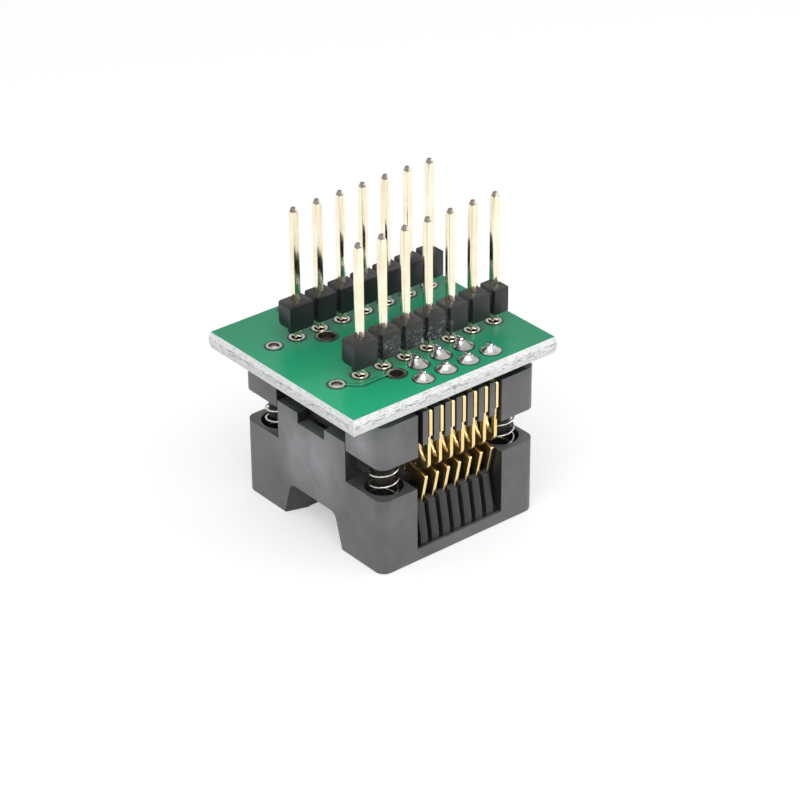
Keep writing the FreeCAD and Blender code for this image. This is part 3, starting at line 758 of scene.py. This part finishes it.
# %% Contacts
LEG_CUT = 12.05 * MM
TINNED_ABOVE = 17.7 * MM
GOLD, SOLDERED, SHADED_SIDE = range(3)
ROW_SPLIT = 7.6 * MM
TAIL_RISE = 0.68 * MM
INNER_LEAN = 0.46 * MM
OUTER_LEAN = 0.12 * MM
socket_middle = sum(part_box("socket_base"), Vector()) / 2


def lean_over(mesh):
    """Push what stands above the board over towards the socket's middle, more the higher it is."""
    for vert in mesh.vertices:
        rise = (vert.co.z - BOARD_TOP) / TAIL_RISE
        if rise > 0.0:
            out = vert.co.y - socket_middle.y
            lean = INNER_LEAN if abs(out) < ROW_SPLIT else OUTER_LEAN
            vert.co.y -= math.copysign(lean * rise, out)


def cut_piece(node, name, keep_upper):
    """The part of a solid's copy above or below the leg's foot, with the cut closed."""
    piece = merged_copy(node, name)
    work = bmesh.new()
    work.from_mesh(piece.data)
    geometry = work.verts[:] + work.edges[:] + work.faces[:]
    cut = bmesh.ops.bisect_plane(work, geom=geometry, plane_co=(0, 0, LEG_CUT), plane_no=(0, 0, 1),
                                 clear_inner=keep_upper, clear_outer=not keep_upper)
    rim = [e for e in cut["geom_cut"] if isinstance(e, bmesh.types.BMEdge)]
    bmesh.ops.holes_fill(work, edges=rim)
    geometry = work.verts[:] + work.edges[:] + work.faces[:]
    bmesh.ops.bisect_plane(work, geom=geometry, plane_co=(0, 0, TINNED_ABOVE), plane_no=(0, 0, 1))
    bmesh.ops.recalc_face_normals(work, faces=work.faces)
    work.to_mesh(piece.data)
    work.free()
    lean_over(piece.data)
    soften(piece, FINE_EDGE)
    for material in (contact_plating, bright_solder, shaded_side_plating):
        piece.data.materials.append(material)
    for face in piece.data.polygons:
        # The flat sides get the darker plating as painted shade; the cut edges keep the bright gold.
        flat_side = SHADED_SIDE if abs(face.normal.x) > 0.8 else GOLD
        face.material_index = SOLDERED if face.center.z > TINNED_ABOVE else flat_side
    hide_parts(node)
    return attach(piece, "base")


contact_nodes = [name for name in sorted(nodes) if name.startswith("contact_")]
for name in contact_nodes:
    cut_piece(name, name + "_leg", keep_upper=True)
    blade = cut_piece(name, name + "_blade", keep_upper=False)
    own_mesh(blade)
print("contacts:", len(contact_nodes))

# %% [markdown]
# A coil spring follows a rule, so Geometry Nodes draw it: a row of points is wound up by their
# index, with the first and last turn closed, and the line is given a round wire. The tree has
# named inputs, so one tree makes all four springs, each turned as the photograph shows it.

# %% Spring tree
POINTS_PER_TURN = 40.0


def make_spring_tree(material):
    tree = bpy.data.node_groups.new("coil_spring", "GeometryNodeTree")
    sizes = (("Radius", 1.3 * MM), ("Wire radius", 0.1 * MM), ("Bottom", 1.3 * MM),
             ("Closed rise", 0.2 * MM), ("Open rise", 1.1 * MM), ("Open turns", 8.0),
             ("Start angle", 0.0))
    for label, value in sizes:
        socket = tree.interface.new_socket(label, in_out="INPUT", socket_type="NodeSocketFloat")
        socket.default_value = value
    tree.interface.new_socket("Geometry", in_out="OUTPUT", socket_type="NodeSocketGeometry")
    entry, result = tree.nodes.new("NodeGroupInput"), tree.nodes.new("NodeGroupOutput")
    radius, wire, bottom, closed, opened, turns, start = entry.outputs[:7]
    line = tree.nodes.new("GeometryNodeMeshLine")
    all_turns = maths(tree, "ADD", turns, 2.0)
    count = maths(tree, "ADD", maths(tree, "MULTIPLY", all_turns, POINTS_PER_TURN), 1.0)
    join(tree, count, line.inputs["Count"])
    index = tree.nodes.new("GeometryNodeInputIndex").outputs[0]
    turn = maths(tree, "DIVIDE", index, POINTS_PER_TURN)
    angle = maths(tree, "ADD", maths(tree, "MULTIPLY", turn, 2 * math.pi), start)
    first = maths(tree, "MULTIPLY", maths(tree, "MINIMUM", turn, 1.0), closed)
    past = maths(tree, "MAXIMUM", maths(tree, "SUBTRACT", turn, 1.0), 0.0)
    middle = maths(tree, "MULTIPLY", maths(tree, "MINIMUM", past, turns), opened)
    last = maths(tree, "MAXIMUM", maths(tree, "SUBTRACT", past, turns), 0.0)
    height = maths(tree, "ADD", maths(tree, "ADD", first, middle), maths(tree, "MULTIPLY", last, closed))
    place = tree.nodes.new("ShaderNodeCombineXYZ")
    join(tree, maths(tree, "MULTIPLY", maths(tree, "COSINE", angle), radius), place.inputs["X"])
    join(tree, maths(tree, "MULTIPLY", maths(tree, "SINE", angle), radius), place.inputs["Y"])
    join(tree, maths(tree, "ADD", height, bottom), place.inputs["Z"])
    wind = tree.nodes.new("GeometryNodeSetPosition")
    join(tree, line.outputs["Mesh"], wind.inputs["Geometry"])
    join(tree, place.outputs[0], wind.inputs["Position"])
    curve = tree.nodes.new("GeometryNodeMeshToCurve")
    join(tree, wind.outputs[0], curve.inputs["Mesh"])
    profile = tree.nodes.new("GeometryNodeCurvePrimitiveCircle")
    profile.inputs["Resolution"].default_value = 12
    join(tree, wire, profile.inputs["Radius"])
    tube = tree.nodes.new("GeometryNodeCurveToMesh")
    tube.inputs["Fill Caps"].default_value = True
    join(tree, curve.outputs[0], tube.inputs["Curve"])
    join(tree, profile.outputs["Curve"], tube.inputs["Profile Curve"])
    smooth = tree.nodes.new("GeometryNodeSetShadeSmooth")
    join(tree, tube.outputs[0], smooth.inputs["Geometry"])
    realize = tree.nodes.new("GeometryNodeRealizeInstances")
    join(tree, smooth.outputs[0], realize.inputs[0])
    paint = tree.nodes.new("GeometryNodeSetMaterial")
    paint.inputs["Material"].default_value = material
    join(tree, realize.outputs[0], paint.inputs["Geometry"])
    join(tree, paint.outputs[0], result.inputs[0])
    return tree


spring_tree = make_spring_tree(spring_wire)
print("spring tree nodes:", len(spring_tree.nodes))

# %% [markdown]
# The four springs take their place and length from the solids' boxes. The wire is 0.2 mm thick,
# and a closed turn rises by a little more than the wire, as it does on a real ground spring.

# %% Springs
WIRE = 0.2 * MM
CLOSED_RISE = 0.24 * MM
OPEN_TURNS = 8
START_ANGLES = {"coil_spring_1": 264, "coil_spring_2": 290, "coil_spring_3": 236, "coil_spring_4": 40}


def make_spring(node):
    low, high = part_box(node)
    length = high.z - low.z
    spring = link(bpy.data.objects.new(node + "_wire", bpy.data.meshes.new(node + "_wire")))
    modifier = spring.modifiers.new("wind", "NODES")
    modifier.node_group = spring_tree
    set_input(modifier, "Radius", (high.x - low.x - WIRE) / 2)
    set_input(modifier, "Wire radius", WIRE / 2)
    set_input(modifier, "Bottom", low.z + WIRE / 2)
    set_input(modifier, "Closed rise", CLOSED_RISE)
    set_input(modifier, "Open rise", (length - WIRE - 2 * CLOSED_RISE) / OPEN_TURNS)
    set_input(modifier, "Open turns", float(OPEN_TURNS))
    set_input(modifier, "Start angle", math.radians(START_ANGLES[node]))
    apply_modifiers(spring)
    middle = (low + high) / 2
    spring.data.transform(Matrix.Translation((middle.x, middle.y, 0)))
    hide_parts(node)
    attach(spring, "cover")
    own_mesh(spring)
    return spring


springs = [make_spring(name) for name in sorted(START_ANGLES)]
print("springs:", len(springs), "faces each:", len(springs[0].data.polygons))

# %% [markdown]
# Pads, plated holes and solder already have their right shapes. The solder of the tails leans with them,
# and the walls of the holes get a near-black brown as painted shade, for a deep narrow hole sees little
# light. The solder under the board needs only its metal, which goes straight into its node's own slot.

# %% Pads and solder
joints = dressed("tail_solder", bright_solder, "base", 0)
lean_over(joints.data)
holes = dressed("plated_holes", tinned_copper, "base", 0)
holes.data.materials.append(hole_shade)
board_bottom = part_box("circuit_board")[0].z
for face in holes.data.polygons:
    if abs(face.normal.z) < 0.5 and board_bottom < face.center.z < BOARD_TOP - JUST_PROUD:
        face.material_index = 1
under_joints = nodes["pin_solder"].data
under_joints.materials.clear()
under_joints.materials.append(bright_solder)
under_joints.shade_smooth()
under_joints.set_sharp_from_angle(angle=math.radians(40.0))
print("joint faces:", len(joints.data.polygons), "hole faces:", len(holes.data.polygons))

# %% [markdown]
# The stage is a plain white floor under soft light. A studio sweep is bright enough to read as
# pure white, but turning up the lamps would bleach the part too. Light Path's Is Camera Ray
# and Is Glossy Ray lift only what is seen directly or mirrored, and the diffuse part of the floor
# keeps the soft shadow.

# %% Floor
FLOOR_WIDTH = 1.2
FLOOR_GLOW = 0.45


def make_floor():
    mesh = bpy.data.meshes.new("floor")
    half = FLOOR_WIDTH / 2
    corners = [(-half, -half, 0), (half, -half, 0), (half, half, 0), (-half, half, 0)]
    mesh.from_pydata(corners, [], [(0, 1, 2, 3)])
    floor = link(bpy.data.objects.new("floor", mesh))
    material = bpy.data.materials.new("floor_white")
    material.use_nodes = True
    tree = material.node_tree
    tree.nodes.remove(tree.nodes["Principled BSDF"])
    output = tree.nodes["Material Output"]
    diffuse = add_node(tree, "ShaderNodeBsdfDiffuse", Color=(0.62, 0.62, 0.62, 1.0))
    glow = add_node(tree, "ShaderNodeEmission", Color=(1.0, 1.0, 1.0, 1.0))
    path = tree.nodes.new("ShaderNodeLightPath")
    seen = maths(tree, "MAXIMUM", path.outputs["Is Camera Ray"], path.outputs["Is Glossy Ray"])
    join(tree, maths(tree, "MULTIPLY", seen, FLOOR_GLOW), glow.inputs["Strength"])
    total = tree.nodes.new("ShaderNodeAddShader")
    join(tree, diffuse.outputs[0], total.inputs[0])
    join(tree, glow.outputs[0], total.inputs[1])
    join(tree, total.outputs[0], output.inputs["Surface"])
    mesh.materials.append(material)
    return floor


floor = make_floor()
print("floor:", floor.name)

# %% [markdown]
# Small shiny parts are lit by large soft sources: a pale sky all round, one broad panel above the
# near corner and a weaker one on the right. The sky fades towards the top, as a studio's does
# above its lamps, so the solder's upward slopes turn grey where the panel misses them. Sizes
# and distances are in the part's own scale, because a lamp's softness depends on how wide it
# looks from the object.

# %% Light
HORIZON = 0.74
ZENITH = 0.5
AIM = Vector((0.0, 0.0, 0.012))


def make_panel(name, place, size, power):
    data = bpy.data.lights.new(name, "AREA")
    data.shape = "SQUARE"
    data.size = size
    data.energy = power
    lamp = link(bpy.data.objects.new(name, data))
    direction = Vector(place) - AIM
    facing = direction.to_track_quat("Z", "Y").to_matrix().to_4x4()
    lamp.matrix_world = Matrix.Translation(place) @ facing
    return lamp


panels = [make_panel("key_panel", (-0.18, -0.20, 0.35), 0.42, 1.15),
          make_panel("side_panel", (0.26, -0.30, 0.14), 0.24, 0.35)]
world = bpy.data.worlds.new("studio_sky")
world.use_nodes = True
tree = world.node_tree
sky = tree.nodes["Background"]
sky.inputs["Color"].default_value = (1.0, 1.0, 1.0, 1.0)
split = tree.nodes.new("ShaderNodeSeparateXYZ")
join(tree, add_node(tree, "ShaderNodeTexCoord").outputs["Generated"], split.inputs[0])
climb = tree.nodes.new("ShaderNodeMapRange")
climb.inputs["To Min"].default_value = HORIZON
climb.inputs["To Max"].default_value = ZENITH
join(tree, split.outputs["Z"], climb.inputs["Value"])
join(tree, climb.outputs["Result"], sky.inputs["Strength"])
bpy.context.scene.world = world
print("panels:", len(panels), "sky from", HORIZON, "down to", ZENITH)
